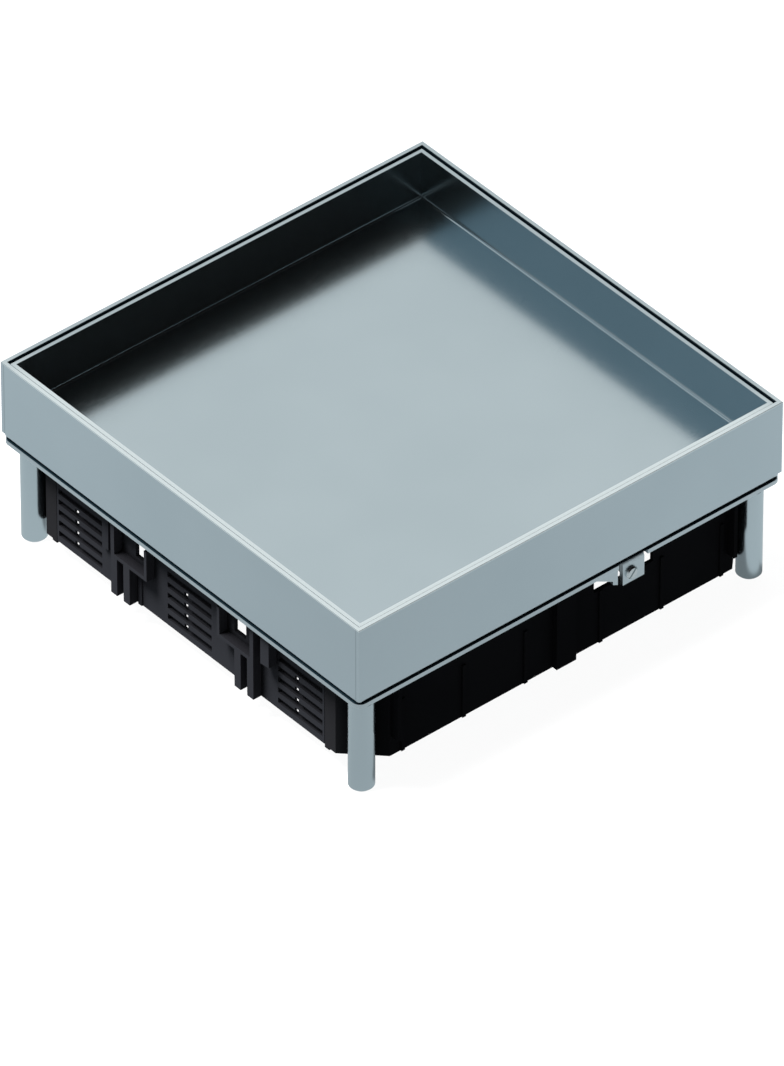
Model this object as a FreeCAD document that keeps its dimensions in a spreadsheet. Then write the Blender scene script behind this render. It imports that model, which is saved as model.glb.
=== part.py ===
"""Square floor box cover: a tile lid in a folded steel frame, on a plate with levelling legs."""
import FreeCAD, Part
import os
import re
import Sketcher

# Driving sizes in millimetres, by the piece that owns them.
SIZES = {
    # Folded frame round the lid
    "frame_side": 243.0,
    "frame_height": 41.8,
    "frame_wall": 2.0,
    "frame_bend": 0.4,
    "frame_rim_round": 0.2,
    "frame_corner_relief": 2.2,
    "flange_width": 22.0,
    "flange_corner": 18.0,
    # Flat gasket between the frame and the plate
    "gasket_thickness": 0.6,
    "gasket_inset": 0.3,
    "gasket_width": 4.0,
    # Base plate with its device opening
    "plate_thickness": 2.2,
    "plate_corner": 4.0,
    "plate_border": 23.0,
    "opening_corner": 12.0,
    # Earth tab bent down from the plate
    "tab_offset": 36.9,
    "tab_width": 12.4,
    "tab_drop": 12.1,
    "tab_setback": 1.5,
    "tab_root": 9.0,
    "tab_clearance": 0.3,
    "tab_relief": 3.6,
    "tab_slit": 0.8,
    "web_length": 13.6,
    "web_tip": 2.8,
    "web_taper": 5.9,
    "web_step": 1.9,
    "web_drop": 9.2,
    "web_setback": 0.7,
    # Earth screw with its washer and nut
    "earth_diameter": 3.5,
    "earth_clearance": 0.1,
    "earth_shift": 1.5,
    "earth_drop": 6.6,
    "earth_length": 8.5,
    "earth_head_diameter": 6.4,
    "earth_head_height": 1.4,
    "earth_slot_width": 0.9,
    "earth_slot_depth": 0.7,
    "earth_slot_angle": 49.0,
    "earth_washer_diameter": 7.0,
    "earth_washer_thickness": 0.6,
    "earth_nut_flats": 6.0,
    "earth_nut_height": 2.4,
    # Lid tray and its stiffeners
    "lid_gap": 0.9,
    "lid_drop": 1.0,
    "lid_sheet": 2.0,
    "lid_recess": 25.1,
    "lid_bend": 3.4,
    "lid_rim_round": 0.2,
    "stiffener_spacing": 100.0,
    "stiffener_end_gap": 11.2,
    "stiffener_width": 30.0,
    "stiffener_height": 8.0,
    "stiffener_sheet": 1.5,
    "stiffener_lip": 9.0,
    # Strip between the frame and the lid
    "seal_thickness": 0.5,
    "seal_drop": 0.7,
    "seal_height": 20.0,
    # Ledge ring that carries the lid
    "bearer_sheet": 2.0,
    "bearer_clearance": 0.3,
    "bearer_foot": 15.0,
    "bearer_ledge": 10.0,
    "pad_thickness": 1.5,
    "pad_width": 7.0,
    "pad_inset": 1.5,
    # Screws that hold bearer, frame and gasket on the plate
    "frame_screw_diameter": 4.0,
    "frame_screw_spacing": 130.0,
    "frame_screw_inset": 10.5,
    "frame_screw_head": 7.0,
    "frame_screw_head_height": 2.2,
    "frame_screw_clearance": 0.1,
    "drive_flats": 2.5,
    "drive_depth": 1.3,
    # Levelling legs
    "leg_diameter": 12.0,
    "leg_inset": 9.7,
    "leg_length": 48.4,
    "leg_edge": 1.0,
    "leg_foot": 4.0,
    "leg_gap": 0.3,
    # Levelling spindles
    "spindle_diameter": 8.0,
    "spindle_clearance": 0.05,
    "spindle_end_gap": 2.7,
    "spindle_point": 1.0,
    "collar_height": 3.8,
    "collar_play": 0.2,
    "journal_diameter": 6.0,
    "journal_clearance": 0.05,
    "spindle_head_height": 8.0,
    "spindle_drive_flats": 3.0,
    "spindle_drive_depth": 3.0,
    "ring_diameter": 10.0,
    "ring_access": 0.5,
    "ring_thickness": 0.8,
    "ring_play": 0.3,
    "ring_groove_depth": 0.6,
    "ring_groove_play": 0.1,
    # Moulded walls under the plate
    "wall_inset": 6.0,
    "wall_thickness": 2.0,
    "wall_height": 41.0,
    "wall_corner_cut": 16.75,
    "wall_return": 7.25,
    "wall_seam": 0.3,
    "wall_flange": 9.0,
    "wall_flange_thickness": 2.2,
    "wall_flange_inset": 6.5,
    "slot_length": 30.0,
    "slot_height": 3.0,
    "slot_pitch": 6.0,
    "slot_start": 4.95,
    "slot_depth": 1.5,
    "peephole_side": 1.65,
    "peephole_shift": 3.64,
    "peephole_rise": 0.95,
    "lead_start": 0.9,
    "lead_width": 2.7,
    "lead_height": 1.55,
    "slot_margin": 1.5,
    "bracket_reach": 4.5,
    "bracket_start": 24.0,
    "bracket_width": 24.6,
    "bracket_drop": 2.2,
    "end_plate": 1.7,
    "end_plate_drop": 1.2,
    "shelf_level": 20.8,
    "shelf_thickness": 2.0,
    "prong_width": 4.2,
    "prong_gap": 4.4,
    "pillar_width": 2.4,
    "notch_middle": 33.6,
    "notch_shift": 1.0,
    "notch_width": 8.0,
    "notch_level": 25.3,
    "block_start": 53.5,
    "block_width": 5.6,
    "block_level": 24.0,
    "block_rise": 0.6,
    "bead_start": 32.2,
    "bead_width": 2.4,
    "bead_reach": 0.7,
    "low_rib_start": 54.0,
    "low_rib_width": 4.0,
    "low_rib_level": 18.3,
    "low_rib_reach": 1.4,
    "clip_width": 11.3,
    "clip_reach": 2.8,
    "rib_width": 2.0,
    "rib_reach": 0.8,
    "rib_inner": 21.6,
    "rib_outer": 57.0,
    "rib_inset": 6.95,
    "plain_drop": 0.6,
    "fin_reach": 4.4,
    "fin_thickness": 2.0,
    "fin_inset": 2.15,
    "fin_rise": 9.5,
    "return_foot": 3.0,
    "return_foot_drop": 1.0,
    "tab_window_left": 19.0,
    "tab_window_right": 15.2,
    "tab_window_depth": 12.3,
    # Screws that hold the moulded walls
    "carrier_screw_diameter": 3.5,
    "carrier_screw_spacing": 110.0,
    "carrier_screw_head": 6.5,
    "carrier_screw_head_height": 2.0,
    "carrier_screw_clearance": 0.1,
}

# Places worked out from the driving sizes, from the floor under the legs upwards.
PLACES = {
    "half_side": "frame_side / 2",
    "plate_under": "leg_length + leg_gap + collar_height + collar_play",
    "plate_top": "plate_under + plate_thickness",
    "flange_under": "plate_top + gasket_thickness",
    "flange_top": "flange_under + frame_wall",
    "rim_level": "flange_under + frame_height",
    "frame_fold": "frame_wall + frame_bend",
    "frame_inside": "half_side - frame_wall",
    "opening_half": "half_side - plate_border",
    "flange_end": "half_side - flange_corner",
    "flange_inside": "half_side - flange_width",
    "lid_half": "frame_inside - lid_gap",
    "lid_inside": "lid_half - lid_sheet",
    "lid_rim": "rim_level - lid_drop",
    "lid_floor": "lid_rim - lid_recess",
    "lid_under": "lid_floor - lid_sheet",
    "bearer_top": "lid_under - pad_thickness",
    "bearer_half": "half_side - frame_fold - bearer_clearance",
    "bearer_web": "bearer_half - bearer_foot + bearer_sheet",
    "bearer_opening": "bearer_web - bearer_ledge",
    "stiffener_half": "bearer_opening - stiffener_end_gap",
    "leg_axis": "half_side - leg_inset",
    "notch_half": "leg_axis + ring_diameter / 2 + ring_access",
    "journal_radius": "journal_diameter / 2",
    "groove_radius": "journal_radius - ring_groove_depth",
    "ring_under": "plate_top + ring_play",
    "ring_top": "ring_under + ring_thickness",
    "wall_face": "half_side - wall_inset",
    "wall_back": "wall_face - wall_thickness",
    "wall_under": "plate_under - wall_height",
    "cut_start": "wall_face - wall_corner_cut",
    "cut_shift": "wall_thickness * tan(22.5 deg)",
    "panel_half": "cut_start - wall_return",
    "panel_pitch": "panel_half - slot_margin - slot_length / 2",
    "wall_flange_half": "panel_half - wall_flange_inset",
    "fin_offset": "cut_start - fin_inset",
    "rib_corner": "cut_start - rib_inset",
    "plain_under": "wall_under - plain_drop",
    "bracket_end": "bracket_start + bracket_width",
    "bracket_top": "plate_under - bracket_drop",
    "shelf_top": "wall_under + shelf_level + shelf_thickness",
    "tab_face": "half_side - tab_setback",
    "tab_back": "tab_face - plate_thickness",
    "bend_inside": "tab_back - wall_face - tab_clearance",
    "tab_left": "tab_offset - tab_width / 2",
    "tab_right": "tab_offset + tab_width / 2",
    "web_end": "tab_left - tab_relief",
    "earth_axis": "tab_offset - earth_shift",
    "earth_level": "plate_under - earth_drop",
    "frame_screw_line": "half_side - frame_screw_inset",
    "frame_screw_seat": "flange_top + bearer_sheet",
    "carrier_screw_line": "wall_back - wall_flange / 2",
    "carrier_screw_seat": "plate_under - wall_flange_thickness",
}

ALIAS = re.compile(r"[a-z_]+")
TOLERANCE = 1e-4
CORNERS = {
    "front": (-1, -1),
    "left": (-1, 1),
    "right": (1, -1),
    "back": (1, 1),
}

doc = FreeCAD.newDocument("floor_box_cover")


def add_sheet(name, cells):
    """Adds a sheet with one alias for each cell."""
    sheet = doc.addObject("Spreadsheet::Sheet", name)
    for row, (alias, content) in enumerate(cells.items(), start=1):
        sheet.set(f"A{row}", alias)
        sheet.set(f"B{row}", str(content))
        sheet.setAlias(f"B{row}", alias)
    return sheet


def formula(text):
    """Writes each alias in a text with the sheet that holds it."""
    def with_sheet(match):
        word = match.group(0)
        if word in SIZES:
            return f"Sizes.{word}"
        return f"Places.{word}" if word in PLACES else word
    return ALIAS.sub(with_sheet, text)


sizes = add_sheet("Sizes", SIZES)
places = add_sheet("Places", {alias: "=" + formula(text) for alias, text in PLACES.items()})
doc.recompute()


def number(text):
    """The present value of a formula."""
    return float(places.evalExpression(formula(text)))


def new_body(label):
    """A body whose label names the piece."""
    body = doc.addObject("PartDesign::Body", label)
    body.Label = label
    return body


def origin_feature(body, role):
    """A plane or axis of the body's own origin."""
    return next(feature for feature in body.Origin.OriginFeatures if feature.Role == role)


def sketch_on(body, plane, level="0", across="0"):
    """A sketch on an origin plane, raised along the plane's normal and shifted along its first axis."""
    sketch = body.newObject("Sketcher::SketchObject", f"{body.Name}_sketch")
    sketch.AttachmentSupport = [(origin_feature(body, f"{plane}_Plane"), "")]
    sketch.MapMode = "FlatFace"
    sketch.setExpression("AttachmentOffset.Base.x", formula(across))
    sketch.setExpression("AttachmentOffset.Base.z", formula(level))
    return sketch


def tie_point(sketch, geometry, position, point):
    """Ties a point of the sketch to a pair of formulas measured from the sketch's origin."""
    axes = (("DistanceX", -2), ("DistanceY", -1))
    for (kind, axis), text in zip(axes, point):
        if text == "0":
            sketch.addConstraint(Sketcher.Constraint("PointOnObject", geometry, position, axis))
            continue
        constraint = Sketcher.Constraint(kind, -1, 1, geometry, position, number(text))
        index = sketch.addConstraint(constraint)
        sketch.setExpression(f"Constraints[{index}]", formula(text))


def outline(sketch, corners):
    """A closed outline of straight edges through corners given as pairs of formulas."""
    points = [FreeCAD.Vector(number(x), number(y), 0) for x, y in corners]
    first = sketch.GeometryCount
    count = len(points)
    for index, point in enumerate(points):
        sketch.addGeometry(Part.LineSegment(point, points[(index + 1) % count]), False)
    for index, corner in enumerate(corners):
        following = first + (index + 1) % count
        sketch.addConstraint(Sketcher.Constraint("Coincident", first + index, 2, following, 1))
        tie_point(sketch, first + index, 1, corner)
    return sketch


def rectangle(sketch, left, bottom, right, top):
    """A rectangle between two corners."""
    return outline(sketch, ((left, bottom), (right, bottom), (right, top), (left, top)))


def square(sketch, half):
    """A square centred on the sketch's origin."""
    return rectangle(sketch, f"-({half})", f"-({half})", half, half)


def circle(sketch, point, radius):
    """A circle about a point."""
    x, y = point
    centre = FreeCAD.Vector(number(x), number(y), 0)
    geometry = sketch.addGeometry(Part.Circle(centre, FreeCAD.Vector(0, 0, 1), number(radius)), False)
    tie_point(sketch, geometry, 3, point)
    index = sketch.addConstraint(Sketcher.Constraint("Radius", geometry, number(radius)))
    sketch.setExpression(f"Constraints[{index}]", formula(radius))
    return sketch


def hexagon(sketch, flats, centre=("0", "0")):
    """A hexagon about a point, two of its sides along the sketch's first axis."""
    x, y = centre
    reach = f"{flats} / (2 * cos(30 deg))"
    side = f"{flats} / 2"
    steps = ((1, 0), (0.5, 1), (-0.5, 1), (-1, 0), (-0.5, -1), (0.5, -1))
    return outline(sketch, [(f"{x} + {along} * {reach}", f"{y} + {up} * {side}") for along, up in steps])


def extrude(body, kind, sketch, length, reverse=False):
    """A pad or pocket of a sketch."""
    feature = body.newObject(f"PartDesign::{kind}", f"{body.Name}_{kind.lower()}")
    feature.Profile = sketch
    feature.setExpression("Length", formula(length))
    feature.Reversed = reverse
    doc.recompute()
    return feature


def pad(body, sketch, length, reverse=False):
    """Adds a sketch's outline along its normal."""
    return extrude(body, "Pad", sketch, length, reverse)


def pocket(body, sketch, length, reverse=False):
    """Cuts a sketch's outline against its normal, and makes sure that it met the solid."""
    before = body.Shape.Volume
    feature = extrude(body, "Pocket", sketch, length, reverse)
    if body.Shape.Volume > before - TOLERANCE:
        raise RuntimeError(f"{feature.Name} cuts nothing")
    return feature


def revolve(body, sketch):
    """Turns a sketch's outline about its own upright axis."""
    feature = body.newObject("PartDesign::Revolution", f"{body.Name}_revolution")
    feature.Profile = sketch
    feature.ReferenceAxis = (sketch, ["V_Axis"])
    feature.Angle = 360
    doc.recompute()
    return feature


def repeat_round(body, originals, count):
    """Repeats features evenly about the upright axis."""
    pattern = body.newObject("PartDesign::PolarPattern", f"{body.Name}_round")
    pattern.Originals = originals
    pattern.Axis = (origin_feature(body, "Z_Axis"), [""])
    pattern.Angle = 360
    pattern.Occurrences = count
    body.Tip = pattern
    doc.recompute()
    return pattern


def repeat_along(body, originals, sketch, length, count):
    """Repeats features evenly along a sketch's first axis."""
    pattern = body.newObject("PartDesign::LinearPattern", f"{body.Name}_along")
    pattern.Originals = originals
    pattern.Direction = (sketch, ["H_Axis"])
    pattern.setExpression("Length", formula(length))
    pattern.Occurrences = count
    body.Tip = pattern
    doc.recompute()
    return pattern


def round_edges(body, radius, chosen):
    """Rounds the edges whose middle passes a test."""
    names = []
    for index, edge in enumerate(body.Shape.Edges, start=1):
        if chosen(edge.CenterOfMass):
            names.append(f"Edge{index}")
    if not names:
        raise RuntimeError(f"{body.Label} has no edge to round")
    base = body.Tip
    feature = body.newObject("PartDesign::Fillet", f"{body.Name}_round")
    feature.Base = (base, names)
    feature.setExpression("Radius", formula(radius))
    doc.recompute()
    return feature


def near(value, text):
    """Whether a value is the present value of a formula."""
    return abs(value - number(text)) < TOLERANCE


def on_square(level, half):
    """A test for edges that lie on a square at a level."""
    def chosen(middle):
        return near(middle.z, level) and near(max(abs(middle.x), abs(middle.y)), half)
    return chosen


def on_corners(half):
    """A test for upright edges at the corners of a square."""
    def chosen(middle):
        return near(abs(middle.x), half) and near(abs(middle.y), half)
    return chosen


def corner_points(offset):
    """The four points at the corners of a square, as pairs of formulas."""
    return [(f"{x} * ({offset})", f"{y} * ({offset})") for x, y in CORNERS.values()]


def quarter_turns(corners):
    """Repeats the corners of one quarter of an outline round all four quarters."""
    quarters = []
    for turn in range(4):
        for x, y in corners:
            for _ in range(turn):
                x, y = f"-({y})", x
            quarters.append((x, y))
    return quarters


def side_points(line, spacing):
    """Two points on each side of a square, as pairs of formulas."""
    points = []
    for sign in (-1, 1):
        for shift in (-1, 1):
            along = f"{shift} * {spacing} / 2"
            points.append((along, f"{sign} * {line}"))
            points.append((f"{sign} * {line}", along))
    return points


def drill(body, points, level, radius, depth):
    """Bores round holes down from a level."""
    sketch = sketch_on(body, "XY", level)
    for point in points:
        circle(sketch, point, radius)
    return pocket(body, sketch, depth)


def frame_screw_holes():
    """The points of the screws through bearer, frame, gasket and plate."""
    return side_points("frame_screw_line", "frame_screw_spacing")


def build_frame():
    """Folded walls with an inward flange round the lower edge."""
    body = new_body("cassette_frame")
    pad(body, square(sketch_on(body, "XY", "flange_under"), "half_side"), "frame_height")
    inside = square(sketch_on(body, "XY", "rim_level"), "frame_inside")
    pocket(body, inside, "frame_height - frame_wall")
    opening = square(sketch_on(body, "XY", "flange_top"), "flange_inside")
    for x, y in CORNERS.values():
        rectangle(opening, f"{x} * flange_end", f"{y} * flange_end", f"{x} * notch_half", f"{y} * notch_half")
    pocket(body, opening, "frame_wall")
    round_edges(body, "frame_bend", on_square("flange_top", "frame_inside"))
    round_edges(body, "frame_fold", on_square("flange_under", "half_side"))
    round_edges(body, "frame_rim_round", on_square("rim_level", "half_side"))
    relief = corner_points("half_side")
    drill(body, relief, "flange_under + frame_fold", "frame_corner_relief", "frame_fold")
    screw_hole = "frame_screw_diameter / 2 + frame_screw_clearance"
    drill(body, frame_screw_holes(), "flange_top", screw_hole, "frame_wall")
    return body


def build_gasket():
    """Flat strip gasket between the frame's folded edge and the plate."""
    body = new_body("base_gasket")
    sheet = square(sketch_on(body, "XY", "plate_top"), "half_side - gasket_inset")
    pad(body, sheet, "gasket_thickness")
    opening = square(sketch_on(body, "XY", "flange_under"), "half_side - gasket_inset - gasket_width")
    pocket(body, opening, "gasket_thickness")
    round_edges(body, "plate_corner", on_corners("half_side - gasket_inset"))
    return body


def add_earth_tab(body):
    """The tab bent down from the plate's front edge, with its relief cuts and tapered web."""
    relief = sketch_on(body, "XY", "plate_top")
    rectangle(relief, "tab_left - tab_relief", "-half_side - tab_relief",
              "tab_right + tab_slit", "-half_side + tab_root")
    pocket(body, relief, "plate_thickness")
    strip = sketch_on(body, "YZ", "tab_left")
    outline(strip, (
        ("-half_side + tab_root", "plate_under"),
        ("-half_side + tab_root", "plate_top"),
        ("-tab_face", "plate_top"),
        ("-tab_face", "plate_under - tab_drop"),
        ("-tab_back", "plate_under - tab_drop"),
        ("-tab_back", "plate_under"),
    ))
    pad(body, strip, "tab_width")
    round_edges(body, "bend_inside + plate_thickness",
                lambda middle: near(middle.y, "-tab_face") and near(middle.z, "plate_top"))
    round_edges(body, "bend_inside",
                lambda middle: near(middle.y, "-tab_back") and near(middle.z, "plate_under"))
    web = sketch_on(body, "XZ", "half_side - web_setback - plate_thickness")
    outline(web, (
        ("web_end - web_length", "plate_under"),
        ("web_end - web_tip", "plate_under - web_taper"),
        ("web_end - web_tip", "plate_under - web_taper - web_step"),
        ("web_end", "plate_under - web_drop"),
        ("web_end", "plate_under"),
    ))
    pad(body, web, "plate_thickness")
    hole = circle(sketch_on(body, "XZ", "tab_face"), ("earth_axis", "earth_level"),
                  "earth_diameter / 2 + earth_clearance")
    pocket(body, hole, "plate_thickness")


def build_plate():
    """Plate with the device opening, journal holes for the spindles and the earth tab."""
    body = new_body("base_plate")
    pad(body, square(sketch_on(body, "XY", "plate_under"), "half_side"), "plate_thickness")
    opening = square(sketch_on(body, "XY", "plate_top"), "opening_half")
    pocket(body, opening, "plate_thickness")
    round_edges(body, "plate_corner", on_corners("half_side"))
    round_edges(body, "opening_corner", on_corners("opening_half"))
    drill(body, corner_points("leg_axis"), "plate_top", "journal_radius + journal_clearance",
          "plate_thickness")
    screw_hole = "frame_screw_diameter / 2 + frame_screw_clearance"
    drill(body, frame_screw_holes(), "plate_top", screw_hole, "plate_thickness")
    carrier_hole = "carrier_screw_diameter / 2 + carrier_screw_clearance"
    drill(body, side_points("carrier_screw_line", "carrier_screw_spacing"), "plate_top", carrier_hole,
          "plate_thickness")
    add_earth_tab(body)
    return body


def build_bearer():
    """Folded ring with a foot strip on each flange, an upright web and a ledge under the lid."""
    body = new_body("lid_bearer")
    foot = sketch_on(body, "XY", "flange_top")
    outline(foot, quarter_turns((
        ("flange_end", "-bearer_half"), ("flange_end", "-flange_end"), ("bearer_half", "-flange_end"),
    )))
    pad(body, foot, "bearer_sheet")
    web = square(sketch_on(body, "XY", "flange_top"), "bearer_web")
    pad(body, web, "bearer_top - flange_top")
    hollow = square(sketch_on(body, "XY", "bearer_top - bearer_sheet"), "bearer_web - bearer_sheet")
    pocket(body, hollow, "bearer_top - bearer_sheet - flange_top")
    opening = square(sketch_on(body, "XY", "bearer_top"), "bearer_opening")
    pocket(body, opening, "bearer_sheet")
    screw_hole = "frame_screw_diameter / 2 + frame_screw_clearance"
    drill(body, frame_screw_holes(), "frame_screw_seat", screw_hole, "bearer_sheet")
    return body


def build_bearer_pad():
    """Damping strip on the ledge."""
    body = new_body("bearer_pad")
    strip = square(sketch_on(body, "XY", "bearer_top"), "bearer_web - pad_inset")
    pad(body, strip, "pad_thickness")
    opening = square(sketch_on(body, "XY", "lid_under"), "bearer_web - pad_inset - pad_width")
    pocket(body, opening, "pad_thickness")
    return body


def build_lid_tray():
    """Folded tray that takes the floor covering."""
    body = new_body("lid_tray")
    pad(body, square(sketch_on(body, "XY", "lid_under"), "lid_half"), "lid_recess + lid_sheet")
    pocket(body, square(sketch_on(body, "XY", "lid_rim"), "lid_inside"), "lid_recess")
    round_edges(body, "lid_bend - lid_sheet", on_square("lid_floor", "lid_inside"))
    round_edges(body, "lid_bend", on_square("lid_under", "lid_half"))
    round_edges(body, "lid_rim_round", on_square("lid_rim", "lid_half"))
    return body


def build_stiffener(name, side):
    """Hat channel under the tray floor, open upwards, with two lips against the tray."""
    body = new_body(name)
    profile = sketch_on(body, "XZ", "-stiffener_half", f"{side} * stiffener_spacing / 2")
    half = "stiffener_width / 2"
    lip = f"{half} + stiffener_lip"
    inner = f"{half} - stiffener_sheet"
    lip_under = "lid_under - stiffener_sheet"
    bottom = "lid_under - stiffener_height"
    outline(profile, (
        (f"-({lip})", "lid_under"), (f"-({lip})", lip_under), (f"-({half})", lip_under),
        (f"-({half})", bottom), (half, bottom), (half, lip_under),
        (lip, lip_under), (lip, "lid_under"), (inner, "lid_under"),
        (inner, f"{bottom} + stiffener_sheet"), (f"-({inner})", f"{bottom} + stiffener_sheet"),
        (f"-({inner})", "lid_under"),
    ))
    pad(body, profile, "2 * stiffener_half")
    return body


def build_lid_seal():
    """Strip round the inner face of the frame."""
    body = new_body("lid_seal")
    top = "rim_level - seal_drop"
    strip = square(sketch_on(body, "XY", f"{top} - seal_height"), "frame_inside")
    pad(body, strip, "seal_height")
    pocket(body, square(sketch_on(body, "XY", top), "frame_inside - seal_thickness"), "seal_height")
    return body


def stand_at_corner(body, corner):
    """Places a turned piece on the leg axis of a corner."""
    x, y = CORNERS[corner]
    body.setExpression("Placement.Base.x", formula(f"{x} * leg_axis"))
    body.setExpression("Placement.Base.y", formula(f"{y} * leg_axis"))


def build_leg(corner):
    """Sleeve with a blind bore for the spindle and a closed foot."""
    body = new_body(f"levelling_leg_{corner}")
    profile = sketch_on(body, "XZ")
    radius = "leg_diameter / 2"
    bore = "spindle_diameter / 2 + spindle_clearance"
    outline(profile, (
        ("0", "0"), (f"{radius} - leg_edge", "0"), (radius, "leg_edge"), (radius, "leg_length"),
        (bore, "leg_length"), (bore, "leg_foot"), ("0", "leg_foot"),
    ))
    revolve(body, profile)
    stand_at_corner(body, corner)
    return body


def build_spindle(corner):
    """Spindle with a threaded shank, a collar under the plate, a journal and a hexagon drive."""
    body = new_body(f"levelling_screw_{corner}")
    profile = sketch_on(body, "XZ")
    collar_under = "leg_length + leg_gap"
    collar_top = f"{collar_under} + collar_height"
    point = "leg_foot + spindle_end_gap"
    shank = "spindle_diameter / 2"
    head_top = "plate_top + spindle_head_height"
    outline(profile, (
        ("0", point), (f"{shank} - spindle_point", point), (shank, f"{point} + spindle_point"),
        (shank, collar_under), ("leg_diameter / 2", collar_under), ("leg_diameter / 2", collar_top),
        ("journal_radius", collar_top), ("journal_radius", "ring_under"),
        ("groove_radius", "ring_under"), ("groove_radius", "ring_top"),
        ("journal_radius", "ring_top"), ("journal_radius", head_top), ("0", head_top),
    ))
    revolve(body, profile)
    drive = hexagon(sketch_on(body, "XY", head_top), "spindle_drive_flats")
    pocket(body, drive, "spindle_drive_depth")
    stand_at_corner(body, corner)
    return body


def build_retaining_ring(corner):
    """Split ring in the spindle's groove, above the plate."""
    body = new_body(f"retaining_ring_{corner}")
    ring = sketch_on(body, "XY", "ring_under + ring_groove_play")
    circle(ring, ("0", "0"), "ring_diameter / 2")
    circle(ring, ("0", "0"), "groove_radius + ring_groove_play")
    pad(body, ring, "ring_thickness - 2 * ring_groove_play")
    mouth = sketch_on(body, "XY", "ring_top")
    rectangle(mouth, "-(groove_radius)", "0", "groove_radius", "ring_diameter")
    pocket(body, mouth, "ring_thickness")
    stand_at_corner(body, corner)
    return body


def headed_screw(body, plane_level, across, profile_points):
    """Turns one screw about an upright axis at a point of the plan."""
    profile = sketch_on(body, "XZ", plane_level, across)
    outline(profile, profile_points)
    return revolve(body, profile)


def build_frame_screws():
    """Screws with low heads on the bearer's foot, two on each side."""
    body = new_body("frame_screws")
    shank = "frame_screw_diameter / 2"
    head = "frame_screw_head / 2"
    top = "frame_screw_seat + frame_screw_head_height"
    points = (
        ("0", "plate_under"), (shank, "plate_under"), (shank, "frame_screw_seat"),
        (head, "frame_screw_seat"), (head, top), ("0", top),
    )
    made = []
    for shift in (-1, 1):
        across = f"{shift} * frame_screw_spacing / 2"
        made.append(headed_screw(body, "frame_screw_line", across, points))
        socket = sketch_on(body, "XY", top, across)
        hexagon(socket, "drive_flats", ("0", "-frame_screw_line"))
        made.append(pocket(body, socket, "drive_depth"))
    repeat_round(body, made, len(CORNERS))
    return body


def build_carrier_screws():
    """Pan-head screws under the flanges of the moulded walls, two on each side."""
    body = new_body("carrier_screws")
    shank = "carrier_screw_diameter / 2"
    head = "carrier_screw_head / 2"
    under = "carrier_screw_seat - carrier_screw_head_height"
    points = (
        ("0", "plate_top"), (shank, "plate_top"), (shank, "carrier_screw_seat"),
        (head, "carrier_screw_seat"), (head, f"{under} + carrier_screw_head_height / 2"),
        (shank, under), ("0", under),
    )
    turned = []
    for shift in (-1, 1):
        across = f"{shift} * carrier_screw_spacing / 2"
        turned.append(headed_screw(body, "carrier_screw_line", across, points))
    repeat_round(body, turned, len(CORNERS))
    return body


def add_wall_flange(body):
    """Inward flange along a wall's top, with its screw holes."""
    flange = sketch_on(body, "XY", "carrier_screw_seat")
    rectangle(flange, "-wall_flange_half", "-wall_back - wall_thickness / 2",
              "wall_flange_half", "-wall_back + wall_flange")
    pad(body, flange, "wall_flange_thickness")
    points = [(f"{shift} * carrier_screw_spacing / 2", "-carrier_screw_line") for shift in (-1, 1)]
    drill(body, points, "plate_under", "carrier_screw_diameter / 2 + carrier_screw_clearance",
          "wall_flange_thickness")


def turn_wall(body, degrees):
    """Turns a wall modelled at the front about the upright axis."""
    body.Placement = FreeCAD.Placement(FreeCAD.Vector(), FreeCAD.Rotation(degrees, 0, 0))


def bracket_corners(side):
    """The outline of a snap bracket: end plate, shelf, pillar and two prongs, mirrored by side."""
    upper = "bracket_end - pillar_width"
    prong = "bracket_end - prong_width"
    gap = "bracket_end - prong_width - prong_gap"
    far = "bracket_end - 2 * prong_width - prong_gap"
    end_plate = "bracket_start + end_plate"
    end_top = "bracket_top - end_plate_drop"
    shelf_under = "shelf_top - shelf_thickness"
    corners = (
        ("bracket_start", shelf_under), ("bracket_start", end_top), (end_plate, end_top),
        (end_plate, "shelf_top"), (upper, "shelf_top"), (upper, "bracket_top"),
        ("bracket_end", "bracket_top"), ("bracket_end", "wall_under"), (prong, "wall_under"),
        (prong, shelf_under), (gap, shelf_under), (gap, "wall_under"), (far, "wall_under"),
        (far, shelf_under),
    )
    return [(f"{side} * ({x})", z) for x, z in corners]


def add_slots(body):
    """Three groups of blind slots, the lower four of each with a lead-in and a small hole."""
    slots = sketch_on(body, "XZ", "wall_face", "-panel_pitch")
    leads = sketch_on(body, "XZ", "wall_face", "-panel_pitch")
    holes = sketch_on(body, "XZ", "wall_face", "-panel_pitch")
    edges = [f"{side} * peephole_side / 2 - peephole_shift" for side in (-1, 1)]
    for row in range(5):
        bottom = f"wall_under + slot_start + {row} * slot_pitch - slot_height / 2"
        top = f"{bottom} + slot_height"
        rectangle(slots, "-slot_length / 2", bottom, "slot_length / 2", top)
        if row < 4:
            sill = f"{bottom} + peephole_rise"
            rectangle(leads, "-lead_start - lead_width", top, "-lead_start", f"{top} + lead_height")
            rectangle(holes, edges[0], sill, edges[1], f"{sill} + peephole_side")
    cuts = [pocket(body, slots, "slot_depth"), pocket(body, leads, "slot_depth")]
    cuts.append(pocket(body, holes, "wall_thickness"))
    repeat_along(body, cuts, slots, "2 * panel_pitch", 3)


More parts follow.
